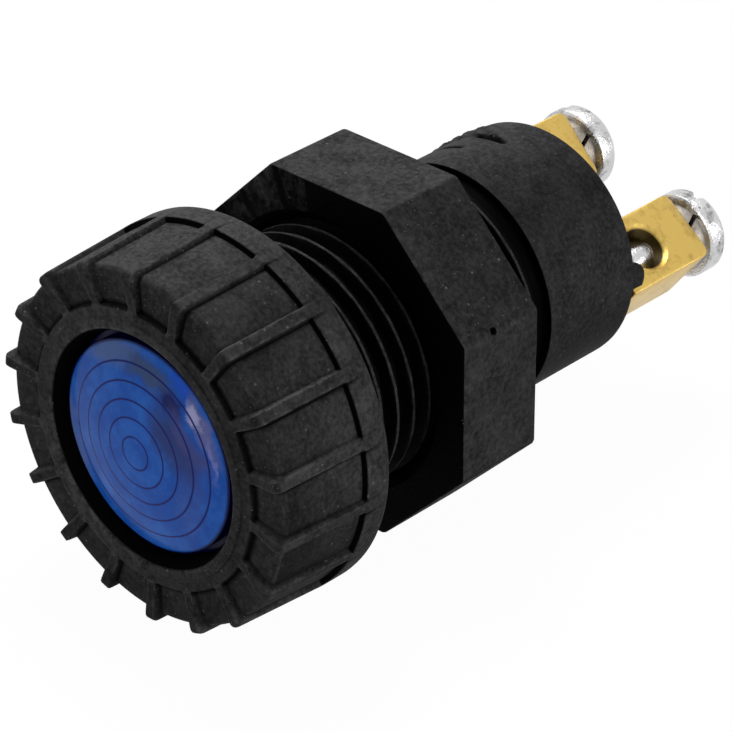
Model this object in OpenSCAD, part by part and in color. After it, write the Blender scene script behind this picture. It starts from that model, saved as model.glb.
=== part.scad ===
// Panel pilot light: a ribbed bezel with a blue lens screws on a threaded barrel,
// which a lock nut clamps in a panel. The rear body carries two screw terminals.
// The axis runs along Y: the lens faces -Y, the terminals point to +Y, +Z is up.
// The origin is on the axis, in the plane where the back of the bezel meets the panel.

/* [Bezel] */
// Outside diameter of the bezel over its rear rim
bezel_d = 32; // [30:0.5:40]
// Length of the bezel from the panel to its front ring
bezel_len = 11.2; // [10.5:0.1:14]
// Length of the plain rim at the back of the bezel
rim_len = 2.6; // [1.5:0.1:4]
// Number of grip ribs
rib_count = 18; // [8:1:24]
// Width of one grip rib
rib_w = 1.3; // [0.8:0.1:2]
// Height of a rib above the panels between the ribs
rib_h = 0.5; // [0.3:0.05:1.2]
// How far a rib stands in front of the panels' front faces
rib_nose = 0.85; // [0.4:0.05:1.2]
// How much smaller the grip's radius is at the front than at the rim
grip_taper = 0.45; // [0:0.05:1]
// Clock angle of the first rib
rib_turn = 14.3; // [0:0.1:20]
// Radial width of the front ring round the opening
ring_w = 1.9; // [1:0.1:2.4]
// Overlap of the front lip over the barrel's outside
lip_w = 0.9; // [0.6:0.05:1.4]
// Thickness of the front lip that holds the lens
lip_t = 2.2; // [1.6:0.1:3]
// How far the panels' front faces fall back from the ring to the shoulder
shoulder_len = 0.1; // [0:0.1:1]

/* [Lens] */
// Free space between the lens and the edge of the opening
lens_recess = 1.1; // [0.6:0.1:2]
// Height of the dome over the lens edge
dome_h = 1.4; // [0.6:0.1:3]
// How far the dome stands in front of the bezel
dome_out = 0.5; // [0:0.1:1.5]
// Wall of the lens
lens_wall = 1.3; // [0.9:0.1:2]
// Thickness of the lens flange
lens_flange_t = 1.4; // [1:0.1:2.5]
// Radial distance between two rings inside the lens
fresnel_pitch = 1.48; // [0.8:0.02:2]
// Depth of the rings inside the lens
fresnel_h = 0.35; // [0.1:0.05:0.6]
// Thickness of the lens gasket
gasket_t = 1; // [0.6:0.1:1.6]

/* [Barrel and nut] */
// Outside diameter of the threaded barrel
thread_d = 22; // [20:0.5:24]
// Length of the barrel from the panel's front to the rear body
barrel_len = 24; // [22:0.5:36]
// Distance from the bezel to the nut
panel_gap = 9.5; // [2:0.1:14]
// Size of the nut across its flats
nut_af = 29.6; // [27:0.2:34]
// Number of flats of the nut
nut_sides = 8; // [6:1:12]
// Thickness of the nut
nut_len = 8.6; // [4:0.1:10]
// Clock angle of the nut
nut_turn = 0.7; // [0:0.1:45]

/* [Rear body] */
// Length of the rear body
body_len = 11.2; // [9:0.1:16]
// Diameter of the rear body
body_d = 22.4; // [21.6:0.1:28]
// Step of the collar over the rear body
collar_step = 0.5; // [0.2:0.1:1.5]
// Length of the collar
collar_len = 1; // [0.5:0.1:2]
// Radius of the rounded rear edge
body_round = 1.5; // [0.5:0.1:2]
// Wall of the barrel
barrel_wall = 2.4; // [2:0.1:2.6]
// Thickness of the floor between lamp and terminals
floor_t = 5.7; // [4:0.1:8]
// Radius of the locating nib on the rear rim
nib_r = 2.1; // [1:0.1:3]
// Height of the locating nib
nib_h = 1.7; // [0.5:0.1:2]
// Clock angle of the locating nib
nib_turn = 7; // [0:1:20]

/* [Terminals] */
// Distance of each terminal from the axis
term_r = 6.5; // [6:0.1:7.5]
// Clock angle of the line through both terminals
term_turn = -16.7; // [-30:0.1:30]
// Clock angle that each block's wire hole faces
block_turns = [53, 44]; // [0:1:90]
// Side of the square section of a block
block_w = 6.4; // [5.6:0.1:7]
// Length of a block
block_len = 9.4; // [8.6:0.1:12]
// Radius of the block's rounded rear edges
block_round = 0.9; // [0.3:0.1:1.2]
// Diameter of the wire hole
wire_d = 3.8; // [3:0.1:4.2]
// Distance from the wire hole's centre to the back of the block
wire_back = 5.4; // [4.6:0.1:6]
// Diameter of the terminal screw
screw_d = 3.5; // [2.5:0.1:4]
// Diameter of the screw's head
head_d = 7.5; // [6.6:0.1:8]
// Height of the screw's head
head_h = 2.8; // [2:0.1:4]
// Width of the screw's slot
slot_w = 1.1; // [0.8:0.1:1.4]
// Thickness of the lock washer
washer_t = 1.2; // [0.8:0.1:1.6]
// How far the screw's tip reaches into the wire hole
tip_in = 1.2; // [0.4:0.1:1.6]

/* [Lamp] */
// Length of the bulb over all
bulb_len = 24; // [22:0.5:26]
// Diameter of the bulb's cap
cap_d = 9.2; // [8.8:0.1:9.4]
// Length of the bulb's cap
cap_len = 9.4; // [8:0.1:10]
// Diameter of the bulb's glass
glass_d = 8.6; // [7:0.1:8.8]
// Travel of the sprung centre contact
plunge = 1; // [0.6:0.1:1.2]

/* [Hidden] */

$fn = 96;
eps = 0.01;
// How far a cutter stands past the material
cut = 1;
// Radial clearance of a running fit
fit_gap = 0.05;
// Clearance round a piece that is only dropped in place
loose_gap = 0.1;

// Radii that follow from the diameters
bezel_r = bezel_d / 2;
thread_r = thread_d / 2;
panel_r = bezel_r - rib_h;
shoulder_r = panel_r - grip_taper;
opening_r = thread_r - lip_w;
ring_r = opening_r + ring_w;
lens_r = opening_r - lens_recess;
flange_in = 0.4;
flange_r = thread_r - flange_in;
bore_r = thread_r + fit_gap;
cavity_r = thread_r - barrel_wall;
body_r = body_d / 2;
collar_r = body_r + collar_step;

// Planes along the axis, from the front to the back
front_z = -bezel_len;
shoulder_in = 0.5;
shoulder_z = front_z + shoulder_in;
lip_z = front_z + lip_t;
flange_z = lip_z + lens_flange_t;
mouth_z = flange_z + gasket_t;
nut_z = panel_gap;
rear_z = barrel_len + body_len;
floor_z = rear_z - floor_t;
block_end_z = rear_z + block_len;
wire_z = block_end_z - wire_back;

// Small edges of the bezel: the ring's step, the slope inside the opening, the rounded shoulder
edge = 0.5;
ring_step = 0.15;
ring_break = 0.2;
slope_len = 1.6;
lens_gap = 0.45;
shoulder_round = 0.5;

// Ribs: their root in the ring, the foot of their nose, their rounding, their end under the rim's edge
rib_root = 0.4;
rib_set = 0.35;
nose_foot = 0.5;
rib_round = 0.5;
rib_under = 0.04;
rib_break = rib_w / 7;
nose_z = shoulder_z - rib_nose;

// Lens: radius of the dome's sphere, and the rings inside
apex_z = front_z - dome_out;
dome_r = (lens_r * lens_r + dome_h * dome_h) / (2 * dome_h);
dome_steps = 12;
dome_edge = 0.3;
lens_break = 0.2;
fresnel_n = floor((lens_r - lens_wall) / fresnel_pitch);

// Nut: broken corners at both ends and a countersink round the bore
nut_r = nut_af / 2 / cos(180 / nut_sides);
corner_cut = 0.6;
corner_flat = 0.1;
corner_len = 0.5;
sink = 1.1;

// Wall behind the locating nib
nib_t = 1.1;

// Sheet metal, lamp holder and its screws
sheet_t = 0.5;
strap_w = 3;
strap_pad_r = 2.1;
strap_set = 0.5;
strap_r = term_r - strap_set;
strap_screw_r = 1.25;
strap_head_r = 1.7;
strap_head_h = 1.6;
boss_turn = term_turn + 90;
boss_h = 4.5;
boss_r = 2.2;
boss_root = 0.5;
base_t = 2.4;
base_r = cavity_r - 2 * loose_gap;
base_back_z = floor_z - boss_h;
base_z = base_back_z - base_t;
socket_flange_z = base_z - sheet_t;
socket_gap = 0.15;
socket_wall = 0.4;
socket_in_r = cap_d / 2 + socket_gap;
socket_out_r = socket_in_r + socket_wall;
socket_flange_w = 1.3;
ear_w = 0.2;
base_screw_r = 1;
base_head_r = 1.4;
base_head_h = 1.2;
base_screw_in = 1;
base_hole_in = 1.3;
base_screw_end = floor_z - base_screw_in;
base_hole_end = base_screw_end + base_hole_in;
driver_w = 0.5;
driver_h = 0.6;
head_root = 0.2;
base_screw_pos = socket_out_r + base_head_r + ear_w + fit_gap;
riser_gap = 0.25;
riser_r = cavity_r - riser_gap;

// Centre contact and its spring
plunger_r = 1.6;
plunger_out = 1.2;
plunger_flange_r = 2.4;
plunger_flange_t = 0.6;
plunger_edge = 0.4;
post_r = 0.9;
post_h = 1.2;
bulb_end_z = base_z - plunger_out;
spring_z = base_back_z + plunger_flange_t;
spring_end_z = floor_z - sheet_t;
wire_r = 0.2;
coil_r = 1.7;
coil_turns = 4;
coil_sides = 6;
coil_steps = 16;
coil_rings = coil_turns * coil_steps;
coil_rise = spring_end_z - spring_z - 2 * wire_r;

// Bulb, counted from its centre contact
cap_r = cap_d / 2;
glass_r = glass_d / 2;
tip_h = 0.7;
seal_h = 1.2;
cap_end_z = bulb_end_z - seal_h;
cap_front_z = cap_end_z - cap_len;
pin_r = 0.9;
pin_set = 5.8;
pin_z = bulb_end_z - pin_set;
pin_over = 0.25;
pin_out = socket_out_r + pin_over;
pin_root = 0.2;
slot_gap = 0.1;
slot_front = 2;
slot_sweep = 28;
slot_lip = 1.8;
socket_rim_z = pin_z - pin_r - slot_gap - slot_lip;
bulb_tip_z = bulb_end_z - bulb_len;
glass_wall = 0.5;
neck_in = 0.4;
neck_len = 2.5;
neck_r = cap_r - neck_in;
neck_z = cap_front_z + neck_len;
cap_wall = 0.3;
cap_edge = 0.6;
seal_r = 3.2;
seal_gap = 0.05;
seal_t = 1.2;
seal_tip_r = 2;
solder_r = 1.2;
solder_round = 0.5;

// Glass foot that closes the neck, its post, and the leads with the filament
stem_len = 3.4;
stem_r = 1.3;
flare_in = 0.6;
foot_in = 1.5;
stem_top_z = cap_front_z - stem_len;
stem_flare_z = cap_front_z + flare_in;
stem_foot_z = cap_front_z + foot_in;
lead_x = 0.9;
lead_r = 0.15;
lead_len = 4.6;
filament_r = 0.3;
filament_w = 2.3;

// Terminal block: bevel of the wire hole, hole for the strap screw
hole_r = wire_d / 2;
hole_bevel = 0.35;
strap_screw_in = 1.6;

// Terminal screw and its washer
screw_r = screw_d / 2;
head_r = head_d / 2;
washer_z = block_end_z;
head_z = washer_z + washer_t;
head_end_z = head_z + head_h;
tip_z = wire_z + wire_d / 2 - tip_in;
tip_edge = 0.5;
head_foot = 0.2;
head_shoulder = 0.7;
head_crown = 0.8;
crown_mid = 0.25;
slot_depth = 0.5 * head_h;
washer_inset = 0.65;
split_w = 0.4;
split_tilt = 25;

// The axis of the light lies along Y: local Z becomes +Y.
module on_axis() {
  rotate([-90, 0, 0]) children();
}

// Clock angles are counted about the axis from +X towards +Z.
module turned(a) {
  rotate([0, 0, -a]) children();
}

// A plain disc or rod between two planes of the axis
module rod(r, from_z, to_z) {
  translate([0, 0, from_z]) cylinder(r = r, h = to_z - from_z);
}

// Points on a quarter or smaller arc
function arc(cx, cz, r, a0, a1, n) =
  [for (i = [0:n]) let (a = a0 + (a1 - a0) * i / n) [cx + r * cos(a), cz + r * sin(a)]];

// Half section of the bezel without its ribs: radius, then place on the axis
function bezel_section() = concat(
  [
    [bore_r, 0],
    [bore_r, lip_z],
    [lens_r + lens_gap, lip_z],
    [lens_r + lens_gap, front_z + slope_len],
    [opening_r, front_z + ring_step],
    [opening_r + ring_step, front_z],
    [opening_r + ring_w / 2, front_z],
    [opening_r + ring_w / 2, front_z + ring_step],
    [ring_r - ring_break, front_z + ring_step],
    [ring_r, front_z + 2 * ring_step],
    [ring_r, shoulder_z]
  ],
  arc(shoulder_r - shoulder_round, shoulder_z + shoulder_len + shoulder_round, shoulder_round, -90, 0, 4),
  [
    [panel_r, -rim_len],
    [bezel_r, -rim_len]
  ],
  arc(bezel_r - edge, -edge, edge, 0, 90, 4)
);

// Half section that the ribs fill: they turn over the shoulder down to the ring
function rib_section() = concat(
  [
    [ring_r - rib_root, edge - rim_len],
    [ring_r - rib_root, front_z + rib_set],
    [ring_r + nose_foot, nose_z]
  ],
  arc(bezel_r - grip_taper - rib_round, nose_z + rib_round, rib_round, -90, 0, 5),
  [[bezel_r - rib_under, edge - rim_len]]
);

// Outline across one rib, with its outer edges broken
rib_outline = [
  [opening_r, -rib_w / 2],
  [bezel_r - rib_break, -rib_w / 2],
  [bezel_r + rib_break, -rib_w / 2 + 2 * rib_break],
  [bezel_r + rib_break, rib_w / 2 - 2 * rib_break],
  [bezel_r - rib_break, rib_w / 2],
  [opening_r, rib_w / 2]
];

module bezel() {
  color("#3b3b3e") on_axis() {
    rotate_extrude() polygon(bezel_section());
    intersection() {
      rotate_extrude() polygon(rib_section());
      translate([0, 0, nose_z - cut]) linear_extrude(cut - nose_z)
        for (i = [0:rib_count - 1]) rotate(-rib_turn - i * 360 / rib_count) polygon(rib_outline);
    }
  }
}

// Height of the dome's outside at radius r
function dome_z(r) = apex_z + dome_r - sqrt(dome_r * dome_r - r * r);

// Stepped rings inside the lens, from the outermost to the axis
function fresnel_points() = [
  for (k = [fresnel_n:-1:1])
    let (r = k * fresnel_pitch, z = dome_z(r) + lens_wall)
      for (step = [fresnel_h, 0]) [r, z + step]
];

function lens_section() = concat(
  [for (i = [0:dome_steps]) let (r = (lens_r - dome_edge) * i / dome_steps) [r, dome_z(r)]],
  [
    [lens_r, dome_z(lens_r) + lens_break],
    [lens_r, lip_z],
    [flange_r, lip_z],
    [flange_r, flange_z],
    [lens_r - lens_wall / 2, flange_z],
    [lens_r - lens_wall, dome_z(lens_r) + lens_wall + fresnel_h]
  ],
  fresnel_points(),
  [[0, apex_z + lens_wall + fresnel_h]]
);

module lens() {
  color("#1f4fae", 0.6) on_axis() rotate_extrude() polygon(lens_section());
}

module lens_gasket() {
  color("#202020") on_axis() difference() {
    rod(flange_r, flange_z, mouth_z);
    rod(cavity_r + 3 * loose_gap, flange_z - cut, mouth_z + cut);
  }
}

// Half section of barrel and rear body
function housing_section() = concat(
  [
    [0, floor_z],
    [cavity_r, floor_z],
    [cavity_r, mouth_z],
    [thread_r - edge, mouth_z],
    [thread_r, mouth_z + edge],
    [thread_r, barrel_len],
    [collar_r, barrel_len],
    [collar_r, barrel_len + collar_len],
    [body_r, barrel_len + collar_len + collar_step]
  ],
  arc(body_r - body_round, rear_z - body_round, body_round, 0, 90, 5),
  [[0, rear_z]]
);

// Both terminals lie on one line through the axis.
module each_terminal() {
  for (side = [0, 180]) turned(term_turn + side) children();
}

// Both bosses of the contact base lie on the line across it.
module each_boss() {
  for (side = [0, 180]) turned(boss_turn + side) translate([base_screw_pos, 0, 0]) children();
}

// Rounded tongue on the rear rim, cut from a disc that stands on edge
module nib() {
  intersection() {
    translate([0, 0, rear_z + nib_h - nib_r]) turned(nib_turn)
      rotate([0, 90, 0]) cylinder(r = nib_r, h = 2 * body_r);
    difference() {
      rod(body_r, rear_z - body_round - nib_r, rear_z + nib_h + cut);
      rod(body_r - nib_t, rear_z - body_round - nib_r - cut, rear_z + nib_h + 2 * cut);
    }
  }
}

module housing() {
  color("#38383a") on_axis() difference() {
    union() {
      rotate_extrude() polygon(housing_section());
      intersection() {
        each_boss() rod(boss_r, base_back_z, floor_z + cut);
        rod(cavity_r + boss_root, base_back_z, floor_z + cut);
      }
      nib();
    }
    each_boss() rod(base_screw_r + fit_gap, base_back_z - cut, base_hole_end);
    each_terminal() translate([strap_r, 0, 0]) rod(strap_screw_r + fit_gap, floor_z - cut, rear_z + cut);
  }
}

// Straight prism with the nut's flats, its corners broken at both ends
module lock_nut() {
  color("#3a3a3d") on_axis() turned(nut_turn) difference() {
    intersection() {
      translate([0, 0, nut_z]) rotate([0, 0, 180 / nut_sides])
        cylinder(r = nut_r, h = nut_len, $fn = nut_sides);
      rotate_extrude() polygon([
        [0, nut_z],
        [nut_r - corner_cut, nut_z],
        [nut_r - corner_flat, nut_z + corner_len],
        [nut_r - corner_flat, nut_z + nut_len - corner_len],
        [nut_r - corner_cut, nut_z + nut_len],
        [0, nut_z + nut_len]
      ]);
    }
    rod(bore_r, nut_z - cut, nut_z + nut_len + cut);
    translate([0, 0, nut_z - eps]) cylinder(r1 = bore_r + sink, r2 = bore_r, h = sink);
    translate([0, 0, nut_z + nut_len - sink + eps]) cylinder(r1 = bore_r, r2 = bore_r + sink, h = sink);
  }
}

module contact_base() {
  color("#8a5a32") on_axis() difference() {
    rod(base_r, base_z, base_back_z);
    rod(plunger_r + fit_gap, base_z - cut, base_back_z + cut);
    each_boss() rod(base_screw_r + fit_gap, base_z - cut, base_back_z + cut);
    turned(term_turn + 180)
      translate([riser_r - sheet_t - loose_gap, -strap_w / 2 - loose_gap, base_z - cut])
      cube([2 * sheet_t + cut, strap_w + 2 * loose_gap, base_t + 2 * cut]);
  }
}

// A small slotted screw whose head starts at head_z0
module small_screw(r, big_r, head_z0, seat_z, end_z) {
  difference() {
    union() {
      rod(big_r, head_z0, seat_z);
      rod(r, seat_z - head_root, end_z);
    }
    translate([-2 * big_r, -driver_w / 2, head_z0 - cut]) cube([4 * big_r, driver_w, driver_h + cut]);
  }
}

module base_screws() {
  color("#c9b06a") on_axis() each_boss()
    small_screw(base_screw_r, base_head_r, socket_flange_z - base_head_h, socket_flange_z, base_screw_end);
}

// One bayonet slot: way in from the rim, leg round the shell, seat for the pin
module bayonet_slot() {
  half_w = pin_r + slot_gap;
  rim_z = pin_z - half_w - slot_front;
  leg_z = pin_z + plunge - half_w;
  translate([0, -half_w, pin_z - half_w]) cube([cap_d, 2 * half_w, plunge + 2 * half_w]);
  turned(slot_sweep) {
    translate([0, -half_w, rim_z]) cube([cap_d, 2 * half_w, plunge + 2 * half_w + slot_front]);
    rotate_extrude(angle = slot_sweep) translate([pin_r, leg_z]) square([cap_d, 2 * half_w + slot_gap]);
  }
}

module lamp_socket() {
  color("#c8a951") on_axis() difference() {
    union() {
      rod(socket_out_r, socket_rim_z, base_z);
      rod(socket_out_r + socket_flange_w, socket_flange_z, base_z);
      each_boss() rod(base_head_r + ear_w, socket_flange_z, base_z);
    }
    rod(socket_in_r, socket_rim_z - cut, socket_flange_z);
    rod(plunger_r + cut, socket_rim_z, base_z + cut);
    each_boss() rod(base_screw_r + fit_gap, socket_flange_z - cut, base_z + cut);
    for (side = [0, 180]) turned(term_turn + side) bayonet_slot();
  }
}

// Foot under the strap screw, riser past the base, leg on the socket's flange
module socket_strap() {
  color("#c8a951") on_axis() turned(term_turn + 180) difference() {
    union() {
      translate([strap_r, 0, 0]) rod(strap_pad_r, floor_z - sheet_t, floor_z);
      translate([strap_r, -strap_w / 2, floor_z - sheet_t]) cube([riser_r - strap_r, strap_w, sheet_t]);
      translate([riser_r - sheet_t, -strap_w / 2, socket_flange_z - sheet_t])
        cube([sheet_t, strap_w, floor_z - socket_flange_z + sheet_t]);
      translate([socket_out_r + loose_gap, -strap_w / 2, socket_flange_z - sheet_t])
        cube([riser_r - socket_out_r - loose_gap, strap_w, sheet_t]);
    }
    translate([strap_r, 0, 0]) rod(strap_screw_r + fit_gap, floor_z - cut, floor_z + cut);
  }
}

module centre_strap() {
  color("#c8a951") on_axis() turned(term_turn) difference() {
    union() {
      rod(strap_pad_r, spring_end_z, floor_z);
      translate([0, -strap_w / 2, spring_end_z]) cube([strap_r, strap_w, sheet_t]);
      translate([strap_r, 0, 0]) rod(strap_pad_r, spring_end_z, floor_z);
    }
    translate([strap_r, 0, 0]) rod(strap_screw_r + fit_gap, floor_z - cut, floor_z + cut);
  }
}

module strap_screws() {
  color("#c9b06a") on_axis() each_terminal() translate([strap_r, 0, 0])
    small_screw(strap_screw_r, strap_head_r, spring_end_z - strap_head_h, spring_end_z,
      rear_z + strap_screw_in);
}

module centre_contact() {
  color("#c8a951") on_axis() {
    rotate_extrude() polygon([
      [0, bulb_end_z],
      [plunger_r - plunger_edge, bulb_end_z],
      [plunger_r, bulb_end_z + plunger_edge],
      [plunger_r, base_back_z],
      [plunger_flange_r, base_back_z],
      [plunger_flange_r, spring_z],
      [post_r, spring_z],
      [post_r, spring_z + post_h],
      [0, spring_z + post_h]
    ]);
  }
}

// Ring of points round the spring's wire at step i of its helix
function coil_ring(i) =
  let (a = 360 * i / coil_steps, z = spring_z + wire_r + coil_rise * i / coil_rings)
    [
      for (k = [0:coil_sides - 1])
        let (b = 360 * k / coil_sides, r = coil_r + wire_r * cos(b))
          [r * cos(a), r * sin(a), z + wire_r * sin(b)]
    ];

module contact_spring() {
  points = [for (i = [0:coil_rings]) each coil_ring(i)];
  first_cap = [for (k = [0:coil_sides - 1]) k];
  last_cap = [for (k = [coil_sides - 1:-1:0]) coil_rings * coil_sides + k];
  walls = [
    for (i = [0:coil_rings - 1], k = [0:coil_sides - 1])
      let (n = (k + 1) % coil_sides, a = i * coil_sides, b = a + coil_sides)
        [a + k, b + k, b + n, a + n]
  ];
  color("#b9bbbd") on_axis() polyhedron(points, concat([first_cap, last_cap], walls));
}

// Outline of a block seen along its wire hole
function block_outline() = concat(
  [[-block_w / 2, rear_z], [block_w / 2, rear_z]],
  arc(block_w / 2 - block_round, block_end_z - block_round, block_round, 0, 90, 4),
  arc(-block_w / 2 + block_round, block_end_z - block_round, block_round, 90, 180, 4)
);

// Stands a piece on terminal i, turned the way its wire hole faces.
module at_terminal(i) {
  line_turn = term_turn + 180 * i;
  turned(line_turn) translate([term_r, 0, 0]) turned(block_turns[i] - line_turn) children();
}

module terminal_block(i) {
  flare_r = hole_r + hole_bevel + eps;
  flare_h = hole_bevel + eps;
  color("#ddb95b") on_axis() difference() {
    at_terminal(i) difference() {
      rotate([90, 0, 90]) linear_extrude(block_w, center = true) polygon(block_outline());
      translate([0, 0, wire_z]) rotate([0, 90, 0]) {
        cylinder(r = hole_r, h = 2 * block_w, center = true);
        translate([0, 0, block_w / 2 - hole_bevel])
          cylinder(r1 = hole_r, r2 = flare_r, h = flare_h);
        translate([0, 0, -block_w / 2 - eps]) cylinder(r1 = flare_r, r2 = hole_r, h = flare_h);
      }
      rod(screw_r + fit_gap, wire_z, block_end_z + cut);
    }
    turned(term_turn + 180 * i) translate([strap_r, 0, 0])
      rod(strap_screw_r + fit_gap, rear_z - cut, rear_z + strap_screw_in + loose_gap);
  }
}

// Half section of the screw, from its tip to the top of its head
screw_section = [
  [0, tip_z],
  [screw_r - tip_edge, tip_z],
  [screw_r, tip_z + tip_edge],
  [screw_r, head_z],
  [head_r - head_foot, head_z],
  [head_r, head_z + head_foot],
  [head_r, head_end_z - head_shoulder],
  [head_r - crown_mid, head_end_z - crown_mid],
  [head_r - head_crown, head_end_z],
  [0, head_end_z]
];

module terminal_screw(i, slot_turn) {
  color("#d5d7d9") on_axis() at_terminal(i) difference() {
    rotate_extrude() polygon(screw_section);
    turned(slot_turn) translate([-head_d, -slot_w / 2, head_end_z - slot_depth])
      cube([2 * head_d, slot_w, slot_depth + cut]);
  }
}

// Split ring: a slanted cut parts it on one side.
module lock_washer(i) {
  color("#c4c6c8") on_axis() at_terminal(i) difference() {
    rod(head_r - washer_inset, washer_z, head_z);
    rod(screw_r + loose_gap, washer_z - cut, head_z + cut);
    translate([0, 0, washer_z + washer_t / 2]) rotate([split_tilt, 0, 0])
      translate([0, -split_w / 2, -2 * washer_t]) cube([head_d, split_w, 4 * washer_t]);
  }
}

// Thin glass: a neck in the cap, a tube and a round end
module bulb_glass() {
  dome_z0 = bulb_tip_z + glass_r;
  inner_r = glass_r - glass_wall;
  color("white", 0.35) on_axis() rotate_extrude() polygon(concat(
    [
      [neck_r - glass_wall, neck_z],
      [neck_r, neck_z],
      [neck_r, cap_front_z],
      [glass_r, cap_front_z - glass_wall]
    ],
    arc(0, dome_z0, glass_r, 0, -90, 8),
    arc(0, dome_z0, inner_r, -90, 0, 8),
    [[neck_r - glass_wall, cap_front_z - glass_wall]]
  ));
}

module bulb_cap() {
  inner_edge = cap_edge + cap_wall;
  color("#cdbf93") on_axis() {
    rotate_extrude() polygon([
      [cap_r - cap_wall, cap_front_z],
      [cap_r, cap_front_z],
      [cap_r, cap_end_z - cap_edge],
      [cap_r - cap_edge, cap_end_z],
      [seal_r + seal_gap, cap_end_z],
      [seal_r + seal_gap, cap_end_z - cap_wall],
      [cap_r - inner_edge, cap_end_z - cap_wall],
      [cap_r - cap_wall, cap_end_z - inner_edge]
    ]);
    for (side = [0, 180]) {
      turned(term_turn + side) translate([cap_r - pin_root, 0, pin_z]) rotate([0, 90, 0])
        cylinder(r = pin_r, h = pin_out - cap_r + pin_root);
    }
  }
}

module bulb_insulator() {
  color("#1d1a22") on_axis() rotate_extrude() polygon([
    [0, cap_end_z - seal_t],
    [seal_r, cap_end_z - seal_t],
    [seal_r, cap_end_z],
    [seal_tip_r, bulb_end_z - tip_h],
    [0, bulb_end_z - tip_h]
  ]);
}

module bulb_contact() {
  color("#c2c3c5") on_axis() rotate_extrude() polygon(concat(
    [[0, bulb_end_z - tip_h], [solder_r, bulb_end_z - tip_h]],
    arc(solder_r - solder_round, bulb_end_z - solder_round, solder_round, 0, 90, 4),
    [[0, bulb_end_z]]
  ));
}

module bulb_stem() {
  foot_r = neck_r - glass_wall - fit_gap;
  color("white", 0.5) on_axis() rotate_extrude() polygon([
    [0, stem_top_z],
    [stem_r, stem_top_z],
    [stem_r, stem_flare_z],
    [foot_r, stem_foot_z],
    [foot_r, neck_z],
    [0, neck_z]
  ]);
}

module bulb_filament() {
  color("#8f8f92") on_axis() {
    for (side = [-1, 1]) translate([side * lead_x, 0, 0]) rod(lead_r, stem_top_z - lead_len, stem_top_z);
    translate([0, 0, stem_top_z - lead_len])
      rotate([0, 90, 0]) cylinder(r = filament_r, h = filament_w, center = true);
  }
}

bezel();
lens();
lens_gasket();
housing();
lock_nut();
contact_base();
base_screws();
lamp_socket();
socket_strap();
centre_strap();
strap_screws();
centre_contact();
contact_spring();
terminal_block(0);  // terminal_block_1
terminal_block(1);  // terminal_block_2
terminal_screw(0, 30);  // terminal_screw_1
terminal_screw(1, 75);  // terminal_screw_2
lock_washer(0);  // lock_washer_1
lock_washer(1);  // lock_washer_2
bulb_glass();
bulb_cap();
bulb_insulator();
bulb_contact();
bulb_stem();
bulb_filament();
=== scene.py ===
"""A panel pilot light: a ribbed black bezel with a blue lens on a threaded barrel with a lock nut,
and two brass screw terminals behind."""
import math

import bmesh
import bpy
import numpy as np
from mathutils import Matrix, Vector


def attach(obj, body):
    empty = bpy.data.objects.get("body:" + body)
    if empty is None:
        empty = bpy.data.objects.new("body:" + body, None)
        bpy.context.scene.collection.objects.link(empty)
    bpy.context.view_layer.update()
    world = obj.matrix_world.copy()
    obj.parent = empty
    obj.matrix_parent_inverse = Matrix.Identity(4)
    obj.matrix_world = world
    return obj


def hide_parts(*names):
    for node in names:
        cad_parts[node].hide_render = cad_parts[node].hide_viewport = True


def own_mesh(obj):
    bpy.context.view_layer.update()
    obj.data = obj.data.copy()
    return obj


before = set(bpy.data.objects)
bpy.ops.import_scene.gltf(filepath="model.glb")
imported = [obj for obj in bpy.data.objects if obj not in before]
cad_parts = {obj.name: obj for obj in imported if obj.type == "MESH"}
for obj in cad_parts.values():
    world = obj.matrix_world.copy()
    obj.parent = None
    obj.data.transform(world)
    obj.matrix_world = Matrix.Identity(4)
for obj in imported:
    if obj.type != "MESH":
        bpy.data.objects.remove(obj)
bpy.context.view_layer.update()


# Camera: it looks at the lens from the front right and a little above, along
# a long lens, so that the light lies across the frame from lower left to upper right.
camera_data = bpy.data.cameras.new("camera")
camera_data.sensor_width = 36
camera_data.lens = 173.64
camera_data.clip_start = 0.01
camera = bpy.data.objects.new("camera", camera_data)
camera.matrix_world = Matrix((
    (0.72472, -0.35526, 0.59040, 0.170112),
    (0.68904, 0.37278, -0.62150, -0.165057),
    (0.00070, 0.85722, 0.51495, 0.145028),
    (0.0, 0.0, 0.0, 1.0),
))
bpy.context.scene.collection.objects.link(camera)
bpy.context.scene.camera = camera
bpy.context.scene.view_settings.view_transform = "Standard"


# Studio: a pale floor just under the bezel's rim, a pale surround, and soft
# panels of light above, behind the camera and to the side.
def add(tree, kind, sockets=(), **settings):
    """Adds a node, sets its properties, and gives each socket its value, or a link from another node's output."""
    node = tree.nodes.new(kind)
    for key, value in settings.items():
        setattr(node, key, value)
    for socket, value in dict(sockets).items():
        if isinstance(value, bpy.types.NodeSocket):
            tree.links.new(value, node.inputs[socket])
        else:
            node.inputs[socket].default_value = value
    return node


def maths(tree, operation, *values, clamp=False):
    """The output of a Math node, whose values are numbers or other nodes' outputs."""
    return add(tree, "ShaderNodeMath", enumerate(values), operation=operation, use_clamp=clamp).outputs[0]


def seen_white(tree, shade, share):
    """Mixes shade with plain white for what the camera, a reflection or a clear piece sees of it, by share."""
    path = add(tree, "ShaderNodeLightPath").outputs
    glow = add(tree, "ShaderNodeEmission", {"Color": (1, 1, 1, 1), "Strength": 1.0})
    seen = maths(tree, "MAXIMUM", path["Is Camera Ray"], path["Is Glossy Ray"])
    seen = maths(tree, "MAXIMUM", seen, path["Is Transmission Ray"])
    part = maths(tree, "MULTIPLY", seen, share)
    return add(tree, "ShaderNodeMixShader", {0: part, 1: shade, 2: glow.outputs[0]}).outputs[0]


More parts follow.
